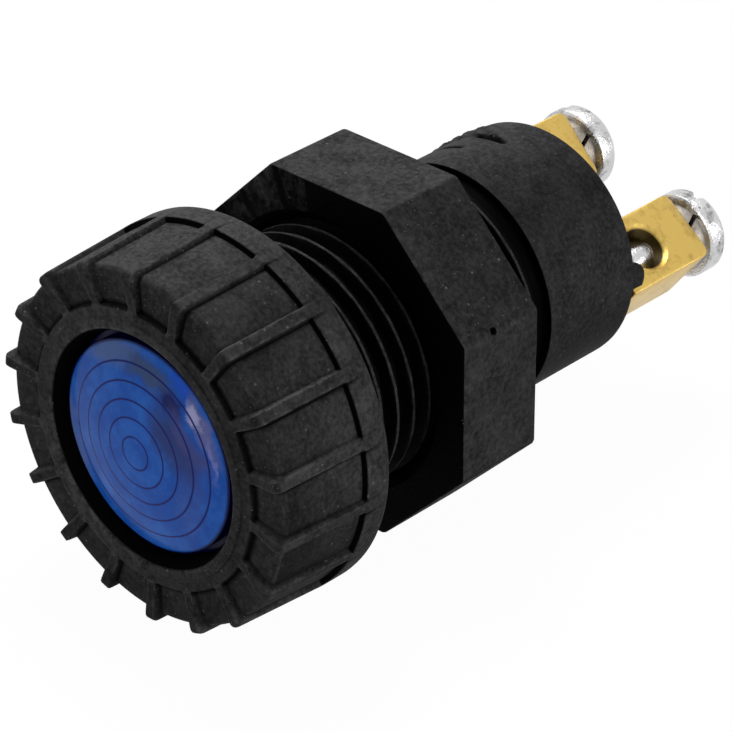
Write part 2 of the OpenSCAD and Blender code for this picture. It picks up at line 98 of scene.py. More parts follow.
floor_z = -0.01615
floor_half = 1.5
floor_grey = 0.8
floor_white = 0.97
surround_light = 0.2
floor_mesh = bpy.data.meshes.new("floor")
floor_mesh.from_pydata(
    [(-floor_half, -floor_half, floor_z), (floor_half, -floor_half, floor_z),
     (floor_half, floor_half, floor_z), (-floor_half, floor_half, floor_z)],
    [], [(0, 1, 2, 3)])
floor = bpy.data.objects.new("floor", floor_mesh)
bpy.context.scene.collection.objects.link(floor)
floor_paint = bpy.data.materials.new("floor_paint")
floor_paint.use_nodes = True
floor_tree = floor_paint.node_tree
floor_tree.nodes.remove(floor_tree.nodes["Principled BSDF"])
floor_matte = add(floor_tree, "ShaderNodeBsdfDiffuse", {"Color": (floor_grey, floor_grey, floor_grey, 1)})
floor_tree.links.new(
    seen_white(floor_tree, floor_matte.outputs[0], floor_white),
    floor_tree.nodes["Material Output"].inputs["Surface"])
floor_mesh.materials.append(floor_paint)

world = bpy.data.worlds.new("surround")
bpy.context.scene.world = world
world.use_nodes = True
world_tree = world.node_tree
surround = world_tree.nodes["Background"]
surround.inputs["Color"].default_value = (1, 1, 1, 1)
surround.inputs["Strength"].default_value = surround_light
world_tree.links.new(
    seen_white(world_tree, surround.outputs[0], 1.0),
    world_tree.nodes["World Output"].inputs["Surface"])

for lamp_name, place, aim, size, watts in (
    ("top_panel", (-0.20, 0.15, 0.60), (0, 0.01, 0), 0.40, 4.6),
    ("front_panel", (0.10, -0.60, 0.20), (0, 0, 0), 0.40, 1.6),
    ("right_panel", (0.60, 0.25, 0.10), (0, 0.02, 0), 0.30, 2.0),
):
    lamp = bpy.data.lights.new(lamp_name, "AREA")
    lamp.energy = watts
    lamp.size = size
    lamp_object = bpy.data.objects.new(lamp_name, lamp)
    away = Vector(place) - Vector(aim)
    facing = away.to_track_quat("Z", "Y").to_matrix().to_4x4()
    lamp_object.matrix_world = Matrix.Translation(place) @ facing
    bpy.context.scene.collection.objects.link(lamp_object)


# Bezel: moulded black plastic with eighteen grip ribs, which turn over a sloping
# shoulder down to a plain front ring. It screws on the front end of the barrel.
MM = 0.001


def cut_corners(corners, steps=4):
    """The path through corners, each (radius, place along the axis, rounding), in mm: a corner p becomes the
    curve (1-t)^2 a + 2 t (1-t) p + t^2 b between the points a and b, its rounding away from p on both sides."""
    p = np.array([c[:2] for c in corners], float)
    r = np.array([c[2] for c in corners], float)[:, None]
    before, after = np.roll(p, 1, 0) - p, np.roll(p, -1, 0) - p
    a = p + before / np.linalg.norm(before, axis=1)[:, None] * r
    b = p + after / np.linalg.norm(after, axis=1)[:, None] * r
    t = np.linspace(0, 1, steps)[None, :, None]
    return ((1 - t) ** 2 * a[:, None] + 2 * t * (1 - t) * p[:, None] + t ** 2 * b[:, None]).reshape(-1, 2)


def skin(name, grid, material, body, close_rows=True, stands_for=(), sharp=35, wear_and_shade=None):
    """A mesh over grid, an array of points in mm by row and column. Columns run round and close on themselves, and
    rows do too where close_rows is set. Points that coincide are merged, so a row of equal points makes a pole.
    Wear and shade, from -1 to 1 at each point, is kept for the material: scuffed above 0, and painted shade, near
    black, below 0."""
    rows, cols = grid.shape[:2]
    k = np.arange(rows * cols).reshape(rows, cols)
    low, high = (k, np.roll(k, -1, 0)) if close_rows else (k[:-1], k[1:])
    quads = np.stack([low, np.roll(low, -1, 1), np.roll(high, -1, 1), high], -1).reshape(-1, 4)
    mesh = bpy.data.meshes.new(name)
    mesh.from_pydata((grid.reshape(-1, 3) * MM).tolist(), [], quads.tolist())
    if wear_and_shade is not None:
        wear_and_shade_layer = mesh.attributes.new("wear_and_shade", "FLOAT", "POINT")
        wear_and_shade_layer.data.foreach_set("value", np.broadcast_to(wear_and_shade, (rows, cols)).astype(np.float32).ravel())
    work = bmesh.new()
    work.from_mesh(mesh)
    bmesh.ops.remove_doubles(work, verts=work.verts, dist=2e-6)
    bmesh.ops.dissolve_degenerate(work, edges=work.edges, dist=1e-7)
    bmesh.ops.recalc_face_normals(work, faces=work.faces)
    work.to_mesh(mesh)
    work.free()
    mesh.polygons.foreach_set("use_smooth", [True] * len(mesh.polygons))
    mesh.set_sharp_from_angle(angle=math.radians(sharp))
    piece = bpy.data.objects.new(name, mesh)
    bpy.context.scene.collection.objects.link(piece)
    mesh.materials.append(material)
    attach(piece, body)
    if stands_for:
        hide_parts(*stands_for)
    return piece


def round_axis(radius, along, turn):
    """Points at radius and turn about the axis and at along on it: x = r cos, y = along, z = r sin."""
    radius, along, turn = np.broadcast_arrays(radius, along, turn)
    return np.stack([radius * np.cos(turn), along, radius * np.sin(turn)], -1)


def node_group(name, inputs, outputs):
    """An empty shader node group with named sockets: each input is (name, type, default)."""
    group = bpy.data.node_groups.new(name, "ShaderNodeTree")
    for socket, kind, default in inputs:
        made = group.interface.new_socket(socket, in_out="INPUT", socket_type=kind)
        made.default_value = default
    for socket, kind in outputs:
        group.interface.new_socket(socket, in_out="OUTPUT", socket_type=kind)
    return group, group.nodes.new("NodeGroupInput").outputs, group.nodes.new("NodeGroupOutput").inputs


def ramp(tree, value, start, end, bottom=0.0, top=1.0, smooth=False):
    """Value carried from start..end to bottom..top and held beyond them, in a straight line or an S-curve."""
    return add(tree, "ShaderNodeMapRange", {
        "Value": value, "From Min": start, "From Max": end, "To Min": bottom, "To Max": top,
    }, interpolation_type="SMOOTHSTEP" if smooth else "LINEAR").outputs[0]


def mixed(tree, share, first, second):
    """The first colour turned into the second by share."""
    return add(tree, "ShaderNodeMix", {0: share, 6: first, 7: second}, data_type="RGBA").outputs[2]


def noise(tree, place, scale, detail, roughness=0.5):
    """Cloudy values about 0.5, with scale clouds to the metre."""
    return add(tree, "ShaderNodeTexNoise", {
        "Vector": place, "Scale": scale, "Detail": detail, "Roughness": roughness}).outputs["Fac"]


def spots(tree, place, scale, inner, outer, left_out):
    """Round spots: 1 up to inner from a cell's centre and 0 past outer, with none in the share left_out of cells."""
    cells = add(tree, "ShaderNodeTexVoronoi", {"Vector": place, "Scale": scale})
    spot = ramp(tree, cells.outputs["Distance"], outer, inner, smooth=True)
    draw = add(tree, "ShaderNodeSeparateColor", {"Color": cells.outputs["Color"]}).outputs[0]
    return maths(tree, "MULTIPLY", spot, maths(tree, "GREATER_THAN", draw, left_out))


# Moulded plastic as one effect: a mottled skin; a pale mottled bloom shaped as painted light, strongest on faces
# turned up and to the right; dust specks; scuffs where the piece is worn; painted shade where wear is below 0; and
# the height of it all.
plastic_group, plastic_in, plastic_out = node_group(
    "moulded_skin",
    [("Colour", "NodeSocketColor", (0.02, 0.02, 0.02, 1)), ("Bloom_and_sheen", "NodeSocketFloat", 0.5),
     ("Dust", "NodeSocketFloat", 0.5), ("Grain", "NodeSocketFloat", 1.0), ("Gloss", "NodeSocketFloat", 0.5),
     ("Wear_and_shade", "NodeSocketFloat", 0.0), ("Front_sheen", "NodeSocketFloat", 0.0)],
    [("Colour", "NodeSocketColor"), ("Roughness", "NodeSocketFloat"), ("Height", "NodeSocketFloat")])
bloom_and_sheen_grey = (0.052, 0.052, 0.0535, 1)
speck_grey = (0.14, 0.137, 0.13, 1)
scuff_grey = (0.085, 0.085, 0.087, 1)
shade_black = (0.0004, 0.0004, 0.0005, 1)
t = plastic_group
where = add(t, "ShaderNodeTexCoord").outputs
place = where["Object"]
painted_light_share = 0.12
# Painted light: the bloom's share grows on faces turned up and to the right, and faces looking straight ahead take
# the front share.
for toward, power, share in (((-0.25, 0.10, 0.963), 4, 1.0), ((0.966, 0.0, 0.259), 6, 0.65)):
    turned = add(t, "ShaderNodeVectorMath", {0: where["Normal"], 1: toward}, operation="DOT_PRODUCT")
    turned = maths(t, "POWER", maths(t, "MAXIMUM", turned.outputs["Value"], 0.0), power)
    painted_light_share = maths(t, "MULTIPLY_ADD", turned, share, painted_light_share)
backward = add(t, "ShaderNodeSeparateXYZ", {"Vector": where["Normal"]}).outputs["Y"]
painted_light_share = ramp(t, backward, -0.95, -0.3, plastic_in["Front_sheen"], painted_light_share, smooth=True)
cloud = noise(t, place, 330, 6, 0.68)
grain = noise(t, place, 2600, 4, 0.6)
mottle = maths(t, "ADD", ramp(t, cloud, 0.40, 0.72), ramp(t, grain, 0.40, 0.64))
mottle = maths(t, "MULTIPLY_ADD", mottle, 0.62, 0.34)
bloom_and_sheen = maths(t, "MULTIPLY", maths(t, "MULTIPLY", mottle, painted_light_share), plastic_in["Bloom_and_sheen"])
skin_colour = mixed(t, bloom_and_sheen, plastic_in["Colour"], bloom_and_sheen_grey)
dusty = maths(t, "MAXIMUM", spots(t, place, 1500, 0.10, 0.2, 0.86), spots(t, place, 3600, 0.12, 0.25, 0.9))
skin_colour = mixed(t, maths(t, "MULTIPLY", dusty, plastic_in["Dust"]), skin_colour, speck_grey)
scuff = ramp(t, noise(t, place, 1100, 5, 0.75), 0.42, 0.62)
skin_colour = mixed(t, maths(t, "MULTIPLY", scuff, plastic_in["Wear_and_shade"], clamp=True), skin_colour, scuff_grey)
# Painted shade: where the wear value is below 0 the skin turns near black.
skin_colour = mixed(t, ramp(t, plastic_in["Wear_and_shade"], 0, -1), skin_colour, shade_black)
t.links.new(skin_colour, plastic_out["Colour"])
t.links.new(maths(t, "MULTIPLY_ADD", cloud, 0.25, plastic_in["Gloss"]), plastic_out["Roughness"])
height = maths(t, "MULTIPLY_ADD", cloud, 0.8, maths(t, "MULTIPLY", grain, plastic_in["Grain"]))
t.links.new(maths(t, "MULTIPLY_ADD", dusty, 0.25, height), plastic_out["Height"])


def finished(name, group, values, strength, distance):
    """A material whose Principled shader takes its colour, roughness and relief from an effect's node group, with
    the group's sockets at values and the piece's own wear and painted shade."""
    material = bpy.data.materials.new(name)
    material.use_nodes = True
    tree = material.node_tree
    shader = tree.nodes["Principled BSDF"]
    wear_and_shade_layer = add(tree, "ShaderNodeAttribute", attribute_name="wear_and_shade")
    effect = add(tree, "ShaderNodeGroup", {"Wear_and_shade": wear_and_shade_layer.outputs["Fac"], **values}, node_tree=group).outputs
    relief = add(tree, "ShaderNodeBump", {"Height": effect["Height"], "Strength": strength, "Distance": distance})
    tree.links.new(effect["Colour"], shader.inputs["Base Color"])
    tree.links.new(effect["Roughness"], shader.inputs["Roughness"])
    tree.links.new(relief.outputs["Normal"], shader.inputs["Normal"])
    return material, shader


def moulded(name, colour, bloom_and_sheen, dust, grain=1.0, gloss=0.4, front=0.0):
    """A material of moulded plastic. Bloom sets the pale bloom, which is painted light, strongest on faces turned up
    and to the right; front is its share, also painted light, on faces that look straight ahead.
    """
    material, shader = finished(name, plastic_group, {
        "Colour": (*colour, 1), "Bloom_and_sheen": bloom_and_sheen, "Dust": dust, "Grain": grain, "Gloss": gloss, "Front_sheen": front,
    }, strength=0.8, distance=0.00006)
    shader.inputs["Specular IOR Level"].default_value = 0.014
    return material


rib_count = 18
rib_start = math.radians(12.4)
rib_reach = 15.8
rib_half = 0.66
rib_flank = 0.26
rim_r = 16.0
bore_r = 11.05
lip_seat = -9.0
bezel_lip = [
    (9.45, lip_seat, 0.02), (9.45, -9.6, 0.05), (10.1, -11.2, 0.22), (11.0, -11.2, 0.06), (11.05, -11.05, 0.05)]
bezel_back = [(rim_r, 0.0, 0.55), (bore_r, 0.0, 0.15), (bore_r, lip_seat, 0.02)]
bezel_panel = cut_corners([
    *bezel_lip, (11.95, -11.0, 0.25), (12.1, -10.55, 0.1), (12.6, -10.56, 0.1), (15.07, -10.62, 0.55),
    (15.485, -3.0, 0.05), (15.5, -2.62, 0.09), (rim_r, -2.58, 0.14), *bezel_back], 5)
bezel_rib = cut_corners([
    *bezel_lip, (11.95, -11.0, 0.2), (12.3, -10.98, 0.15), (12.8, -11.06, 0.1), (15.45, -11.52, 0.7),
    (15.94, -3.4, 0.05), (15.96, -3.0, 0.09), (rim_r, -2.5, 0.14), *bezel_back], 5)
half_step = math.pi / rib_count
offsets = np.array([0, 0.2, 0.34, 0.42, 0.47, 0.51, 0.55, 0.59, 0.64, 0.7, 0.8, 1.0, 1.4, 2.0]) / rib_reach
offsets = np.concatenate([-half_step * np.ones(1), -offsets[:0:-1], offsets])
rib_share = np.clip((rib_half / rib_reach - np.abs(offsets)) / (rib_flank / rib_reach), 0, 1)
rib_share = rib_share ** 2 * (3 - 2 * rib_share)
bezel_path = bezel_panel[:, None] * (1 - rib_share)[None, :, None] + bezel_rib[:, None] * rib_share[None, :, None]
widen = rib_reach / np.clip(bezel_path[..., 0], 11.5, None) - 1
bezel_turn = offsets * (1 + widen * (1 - (offsets / half_step) ** 2))
bezel_turn = np.concatenate([bezel_turn + rib_start + i * 2 * half_step for i in range(rib_count)], 1)
bezel_path = np.concatenate([bezel_path] * rib_count, 1)
rib_share = np.tile(rib_share, rib_count)
aside = np.abs(np.tile(offsets, rib_count)) * rib_reach
rib_side = np.sign(np.tile(offsets, rib_count))


def near(value, centre, width):
    """A bell curve of value about centre: exp(-((value - centre) / width)^2)."""
    return np.exp(-((value - centre) / width) ** 2)


def turn_from(start, turn):
    """Turn with whole circles taken off, so that it lies between start and start + 2 pi."""
    return (turn - start) % (2 * math.pi) + start


# The bezel's wear and painted shade: painted shade, near black, at the ribs' feet, in the lip's recess, on the
# ring's wall, at the rim's step and in a crease on the right of the shoulder; pale rubbing on the ribs' edges, the
# shoulder, the lip, the ring's edge and the rim; and paler patches on the ring. Each near() holds a mark's place and
# width, in mm or in radians, and the factor before it is its depth.
light_x, light_z = 0.94, 0.35
bezel_r, bezel_y = bezel_path[..., 0], bezel_path[..., 1]
outside = (bezel_r > 12.05) & (bezel_y < -2.3)
lit = rib_side * (light_z * np.sin(bezel_turn) + light_x * np.cos(bezel_turn))
# Painted shade at the ribs' feet, deepest on the side turned from the light.
rib_foot_shade = near(aside, rib_half, 0.13) * outside * (0.30 + 0.65 * np.clip(-2.5 * lit, 0, 1))
recess_shade = (bezel_r < 10.02) & (bezel_y < -8.0)
ring_wall_shade = near(bezel_r, 12.1, 0.22) * (bezel_y < -10.5) * (bezel_y > -10.97) * (1 - 0.7 * rib_share)
rim_step_shade = (bezel_y > -2.7) & (bezel_y < -2.5) & (bezel_r > 15.45) & (bezel_r < 15.93)
right_side = near(turn_from(-math.pi / 2, bezel_turn), -0.1, 0.75)
crease_shade = near(bezel_y, -9.9, 0.35) * (bezel_r > 15) * right_side * (1 - rib_share)
painted_shade_depth = np.clip(rib_foot_shade + recess_shade + 0.9 * ring_wall_shade + rim_step_shade * (1 - rib_share) + 0.75 * crease_shade, 0, 1)
rib_edges = 0.5 * near(aside, 0.42, 0.09) * outside * (bezel_y < -3)
shoulder = 0.35 * near(bezel_y, -10.6, 0.3) * (bezel_r > 14.8)
lip_edge = 0.35 * near(bezel_r, 10.2, 0.12) * (bezel_y < -11.1)
ring_edge = 0.3 * near(bezel_r, 11.95, 0.12) * (bezel_y < -10.9)
rim_edges = 0.3 * near(bezel_r, rim_r, 0.05) * (near(bezel_y, -2.5, 0.15) + near(bezel_y, -0.3, 0.2))
ring_face = (bezel_y < -10.9) * (bezel_r > 10.0) * (bezel_r < 12.1)
ring_turn = turn_from(-math.pi, bezel_turn)
# Paler patches on the ring at its upper left and lower left.
ring_pale_patches = (0.22 * near(ring_turn, 2.0, 0.8) + 0.3 * near(ring_turn, -2.3, 0.9)) * ring_face
rubbed = rib_edges + shoulder + lip_edge + ring_edge + rim_edges + ring_pale_patches
# Below 0: painted shade, near black; above 0: pale rubbing.
bezel_wear_and_shade = np.where(painted_shade_depth > 0.12, -painted_shade_depth, np.clip(rubbed, 0, 1))
bezel_plastic = moulded(
    "bezel_plastic", (0.0030, 0.0030, 0.0033), bloom_and_sheen=1.0, dust=0.5, gloss=0.45, front=0.34)
skin("bezel_shell", round_axis(bezel_r, bezel_y, bezel_turn), bezel_plastic,
     "bezel_ring", stands_for=["bezel"], wear_and_shade=bezel_wear_and_shade)


# Lens: clear blue plastic with a low dome. Five rings are stepped on its inside; the dark lines where they show
# through, the dome's dark edge and its highlights and reflections are painted. Its flange is held between the
# bezel's lip and the gasket.
lens_edge = 9.0
lens_wall = 1.3
dome_rise = 1.4
dome_top = -11.7
dome_sphere = (lens_edge ** 2 + dome_rise ** 2) / (2 * dome_rise)
dome_round = 0.15
flange_r = 10.6
flange_bore = 8.35
flange_front = -9.0
flange_back = -7.6
inside_r = 7.7
step_radii = (7.4, 5.92, 4.44, 2.96, 1.48)
step_height = 0.35
line_radii = (1.4, 2.96, 4.4, 5.85, 7.35)
line_dark, line_half = 0.03, 0.13
rim_clear, rim_dark = 8.65, 8.95


def dome(radius):
    """Where the dome's outer face stands at radius: top + s - sqrt(s^2 - radius^2), with s the sphere's radius."""
    return dome_top + dome_sphere - np.sqrt(dome_sphere ** 2 - radius ** 2)


outer_r = np.linspace(0, lens_edge - dome_round, 40)
outer_end = dome(outer_r[-1])
steps = [corner for ring in step_radii for corner in (
    (ring + 0.02, dome(ring) + lens_wall + step_height), (ring, dome(ring) + lens_wall))]
lens_path = np.concatenate([np.stack([outer_r, dome(outer_r)], 1), [
    (lens_edge - 0.03, outer_end + 0.06), (lens_edge, outer_end + 0.2), (lens_edge, flange_front),
    (flange_r, flange_front), (flange_r, flange_back), (flange_bore, flange_back), (inside_r, outer_end + lens_wall),
], steps, [(0.0, dome_top + lens_wall + step_height)]])
lens_turn = np.linspace(0, 2 * math.pi, 192, endpoint=False)[None]

ring_line_blue = (0.006, 0.009, 0.100, 1)
rim_shade_blue = (0.0005, 0.0012, 0.030, 1)
lens_blue = (0.007, 0.058, 0.300, 1)
hazy_blue = (0.015, 0.092, 0.380, 1)
lens_material = bpy.data.materials.new("blue_lens_plastic")
lens_material.use_nodes = True
t = lens_material.node_tree
lens_shader = t.nodes["Principled BSDF"]
place = add(t, "ShaderNodeTexCoord").outputs["Object"]
apart = add(t, "ShaderNodeSeparateXYZ", {"Vector": place}).outputs
flat = add(t, "ShaderNodeCombineXYZ", {"X": apart["X"], "Z": apart["Z"]}).outputs[0]
reach = add(t, "ShaderNodeVectorMath", {0: flat}, operation="LENGTH").outputs["Value"]
wobble = maths(t, "MULTIPLY_ADD", noise(t, place, 260, 2), 0.12 * MM, -0.06 * MM)
reach = maths(t, "ADD", reach, wobble)
# Painted shade: dark lines at the rings' radii, where the inner steps show through.
ring_line_shade = 0.0
for ring in line_radii:
    off = maths(t, "ABSOLUTE", maths(t, "SUBTRACT", reach, ring * MM))
    ring_line_shade = maths(t, "MAXIMUM", ring_line_shade, ramp(t, off, line_half * MM, line_dark * MM, smooth=True))
# Painted shade: the dome's edge turns deep blue.
rim_shade = ramp(t, reach, rim_clear * MM, rim_dark * MM, smooth=True)
lens_tone_and_light = mixed(t, ramp(t, noise(t, place, 420, 5, 0.65), 0.38, 0.68, smooth=True), lens_blue, hazy_blue)
warp = add(t, "ShaderNodeTexNoise", {"Vector": place, "Scale": 350, "Detail": 4, "Roughness": 0.7})
shift = add(t, "ShaderNodeVectorMath", {
    0: warp.outputs["Color"], 1: (3 * MM, 0.0, 3 * MM), 2: (-1.5 * MM, 0.0, -1.5 * MM)}, operation="MULTIPLY_ADD")
drifted = add(t, "ShaderNodeVectorMath", {0: flat, 1: shift.outputs[0]}, operation="ADD").outputs[0]
# Painted highlights, reflections and shade on the lens, as soft patches: place across and up, half length
# and half width in mm, lean in degrees, share and colour.
for across, up, long, wide, lean, share, colour in (
    (-8.3, -2.2, 6.2, 1.5, 105, 0.75, (0.085, 0.125, 0.300)),
    (-3.5, 7.4, 3.6, 1.2, 20, 0.80, (0.060, 0.095, 0.210)),
    (0.6, 7.0, 3.2, 1.3, -12, 0.85, (0.035, 0.055, 0.110)),
    (5.5, -2.0, 5.5, 1.6, 80, 0.35, (0.045, 0.060, 0.200)),
    (3.9, 2.4, 4.0, 2.2, -50, 0.75, (0.022, 0.026, 0.085)),
    (3.4, 5.4, 2.0, 1.0, -35, 0.90, (0.006, 0.007, 0.065)),
    (5.3, 3.0, 3.4, 0.9, -50, 0.55, (0.055, 0.050, 0.150)),
    (6.4, 4.5, 3.4, 0.75, -57, 0.80, (0.105, 0.105, 0.230)),
    (5.6, 5.3, 1.2, 0.5, -55, 0.85, (0.300, 0.300, 0.500)),
    (7.4, 2.2, 2.2, 0.35, -72, 0.60, (0.160, 0.170, 0.420)),
    (3.9, 7.1, 1.5, 0.5, -38, 0.90, (0.008, 0.060, 0.420)),
):
    light_patch = add(t, "ShaderNodeMapping", {
        "Vector": drifted, "Location": (across * MM, 0, up * MM), "Rotation": (0, math.radians(-lean), 0),
        "Scale": (long * MM, 1, wide * MM)}, vector_type="TEXTURE")
    away = add(t, "ShaderNodeVectorMath", {0: light_patch.outputs[0]}, operation="LENGTH").outputs["Value"]
    lens_tone_and_light = mixed(t, ramp(t, away, 1.15, 0.35, top=share, smooth=True), lens_tone_and_light, (*colour, 1))
t.links.new(mixed(t, rim_shade, mixed(t, ring_line_shade, lens_tone_and_light, ring_line_blue), rim_shade_blue), lens_shader.inputs["Base Color"])
lens_shader.inputs["Roughness"].default_value = 0.2
lens_shader.inputs["Transmission Weight"].default_value = 0.08
lens_shader.inputs["IOR"].default_value = 1.49
lens_shader.inputs["Specular IOR Level"].default_value = 0.04
skin("lens_dome", round_axis(lens_path[:, :1], lens_path[:, 1:], lens_turn), lens_material,
     "lens_carrier", stands_for=["lens"], sharp=25)


# Barrel and rear body: one black moulding, a tube with a coarse right-hand thread and a plain
# drum behind it, which has a rounded back edge, a locating nib, a dent and a scab of flash.
thread_pitch = 1.8
thread_depth = 0.9
thread_crest = 11.0
thread_phase = 0.1
thread_start = -6.4
thread_end = 23.2
fade_in, fade_out = 0.8, 0.6
ridge_foot, ridge_flank = 0.34, 0.24
crest_half, crest_soft = 0.10, 0.03
turns = np.linspace(0, 2 * math.pi, 240, endpoint=False)


def threaded(along, turn):
    """Radius and crest share of the thread: root plus depth times a trapezoid ridge, whose phase is along/pitch +
    turn/(2 pi) and which fades out at both ends. The crest share is 1 on the narrow flat top of the ridge.
    The ridge's foot, flank and crest are shares of the pitch."""
    phase = (along / thread_pitch + turn / (2 * math.pi) + thread_phase) % 1.0
    away = np.abs(phase - 0.5)
    ridge = np.clip((ridge_foot - away) / ridge_flank, 0, 1)
    fade = np.clip((thread_end - along) / fade_out, 0, 1) * np.clip((along - thread_start) / fade_in, 0, 1)
    crest = np.clip((crest_half - away) / crest_soft, 0, 1)
    return thread_crest - thread_depth + thread_depth * ridge * fade, crest


thread_y = np.arange(thread_start, thread_end + 0.3, thread_pitch / 14)[:, None]
thread_r, crest_share = threaded(thread_y, turns[None])
barrel = round_axis(thread_r, thread_y, turns[None])
barrel_mouth = -6.6
barrel_bore = 8.6
barrel_floor = 29.5
neck_r = 9.9
drum_r = 10.6
drum_edge = 24.7
drum_back = 35.5
drum_round = 0.75
drum_front = cut_corners([
    (neck_r, 23.6, 0.05), (neck_r, drum_edge, 0.1), (drum_r, drum_edge, 0.1), (drum_r, drum_edge + 1, 0.0)], 4)[:-4]
drum_side = np.stack([np.full(60, drum_r), np.linspace(drum_edge + 0.15, drum_back - 0.8, 60)], 1)
drum_rear = cut_corners([
    (0.0, barrel_floor, 0.0), (barrel_bore, barrel_floor, 0.3), (barrel_bore, barrel_mouth, 0.2),
    (10.1, barrel_mouth, 0.1), (drum_r, 25.0, 0.0), (drum_r, drum_back, drum_round), (0.0, drum_back, 0.0)], 6)
drum_rear = np.concatenate([drum_rear[-12:], drum_rear[:24]])
drum_path = np.concatenate([drum_front, drum_side, drum_rear])
drum_radius, drum_along, drum_turn = np.broadcast_arrays(drum_path[:, :1], drum_path[:, 1:], turns[None])


def patch_round(turn, centre, half, soft):
    """1 where turn is well within half of centre, falling to 0 at half in a straight line soft wide."""
    return np.clip((half - np.abs(turn - centre)) / soft, 0, 1)


dent_depth = 0.30
flash_height = 0.28
flash_end = 34.6
mark_turn = 1.75
dent_y = 0.55 * np.sin((drum_turn - mark_turn) * 5.0) + 31.2 - 1.9 * (drum_turn - mark_turn)
on_side = (drum_radius > 10.5) & (drum_along > 24.5)
dent = patch_round(drum_turn, 1.77, 0.19, 0.06) * near(drum_along, dent_y, 0.26) * on_side
dent = dent + patch_round(drum_turn, 1.99, 0.16, 0.06) * near(drum_along, 28.7, 0.2) * on_side
flash = patch_round(drum_turn, 2.05, 0.42, 0.14) * on_side
flash = flash * np.clip((drum_along - dent_y) / 0.3, 0, 1) * np.clip((flash_end - drum_along) / 1.2, 0, 1)
rough_flash = 0.6 + 0.4 * np.sin(drum_turn * 47) * np.sin(drum_along * 5.1 + drum_turn * 19)
marked_r = drum_radius - dent_depth * dent + flash_height * flash * rough_flash
drum = round_axis(marked_r, drum_along, drum_turn)
# Painted light on the barrel: a painted highlight along the thread's crests, and painted shade, near black, in its
# roots that is lighter towards the top. There is also painted shade on the drum's front face, in the bore and in the
# dents, and the flash is a little paler.
drum_shade = (drum_along < drum_edge + 0.03) & (drum_radius > 9) | (drum_radius < 9)
lit_top = near(turns[None], 1.85, 0.4)
barrel_wear_and_shade = np.concatenate([
    np.where(crest_share > 0.3, 0.3 * crest_share, 0.62 * lit_top - 0.97),
    np.where(drum_shade, -1.0, 0.25 * flash - 0.95 * dent)])
housing_plastic = moulded("housing_plastic", (0.0025, 0.0026, 0.0032), bloom_and_sheen=0.75, dust=0.3, gloss=0.42)
skin("barrel_and_body", np.concatenate([barrel, drum]), housing_plastic, "light_body",
     stands_for=["housing"], wear_and_shade=barrel_wear_and_shade)

nib_turn = math.radians(-1)
nib_round = 1.75
nib_top = 36.9
nib_middle = nib_top - nib_round
nib_arc = np.linspace(0, math.pi, 13)
nib_across = np.concatenate([nib_round * np.cos(nib_arc), nib_round * np.array([-1, -1, 1, 1])])
nib_along = np.concatenate([nib_middle + nib_round * np.sin(nib_arc), nib_top - np.array([2.5, 4.2, 4.2, 2.5])])
nib_radius = np.array([9.3, 9.3, 9.4, 10.3, 10.4, 10.4])[:, None]
nib_share = 1 - np.array([nib_round, 0.12, 0.0, 0.0, 0.12, nib_round])[:, None] / nib_round
nib = round_axis(
    nib_radius, nib_middle + (nib_along - nib_middle) * nib_share, nib_turn + nib_across * nib_share / drum_r)
skin("locating_nib", nib, housing_plastic, "light_body", close_rows=False)


# Lock nut: an eight-sided moulded nut with rounded edges, countersunk at both ends.
# A small sink mark is left on one of its corners.
nut_flat = 14.8
nut_turn = math.radians(0.4)
nut_front = 9.5
nut_back = 18.1
nut_bore = 11.05
nut_edge = 0.2
nut_sink = 1.1
corner_off = 0.06


def bored_slab(
        name, outline, hole, thick, edge, sink, to_row, material, body, stands_for, walls=(), wear_and_shade=None):
    """A slab with a round hole along its own axis. Its path from the hole to the outline and back is the same all
    round: rows are hole circle times (1 - t) plus outline times t, with the edges set in by edge and the hole's by
    sink. Extra rows of the outer wall stand at walls, and wear gives each point's wear and painted shade from the
    slab's u, v, w."""
    size = np.linalg.norm(outline, axis=1)[:, None]
    ring = outline / size * hole
    a, b = thick
    e3, s3 = edge * 0.3, sink * 0.5
    rows = []
    for share, grow, shrink, w in (
        (0, 0, 0, (a + b) / 2), (0, 0, 0, a + sink), (0, s3, 0, a + s3), (0, sink, 0, a),
        (0.35, 0, 0, a), (0.7, 0, 0, a), (0.85, 0, 0, a), (1, 0, edge, a), (1, 0, e3, a + e3), (1, 0, 0, a + edge),
        *((1, 0, 0, w) for w in walls),
        (1, 0, 0, b - edge), (1, 0, e3, b - e3), (1, 0, edge, b), (0.7, 0, 0, b), (0.35, 0, 0, b),
        (0, sink, 0, b), (0, s3, 0, b - s3), (0, 0, 0, b - sink),
    ):
        points = ring * (1 - share) * (1 + grow / hole) + outline * share * (1 - shrink / size)
        rows.append((points[:, 0], points[:, 1], np.full(len(outline), w)))
    u, v, w = np.array(rows).transpose(1, 0, 2)
    return skin(name, to_row(u, v, w), material, body, stands_for=stands_for, sharp=30,
                wear_and_shade=None if wear_and_shade is None else wear_and_shade(u, v, w))


nut_angles = np.linspace(0, 2 * math.pi, 720, endpoint=False)
folded = (nut_angles - nut_turn + math.pi / 8) % (math.pi / 4) - math.pi / 8
nut_reach = np.minimum(nut_flat / np.cos(folded), nut_flat / math.cos(math.pi / 8) - corner_off)
nut_outline = np.stack([nut_reach * np.cos(nut_angles), nut_reach * np.sin(nut_angles)], 1)
pit_turn = math.radians(23.2)
pit_along = 12.95
pit_reach = 15.9
pit_r = 0.3
pit_depth = 0.4
pit_wall = 0.12
pit_steps = np.array([0.07, 0.14, 0.2, 0.26, 0.32, 0.42])
pit_rows = pit_along + np.concatenate([-pit_steps[::-1], [0], pit_steps])


def from_pit(u, v, w):
    """How far each point lies from the middle of the pit, on the nut's own corner."""
    middle = pit_reach * np.array([math.cos(pit_turn), math.sin(pit_turn)])
    return np.sqrt((u - middle[0]) ** 2 + (v - middle[1]) ** 2 + (w - pit_along) ** 2)


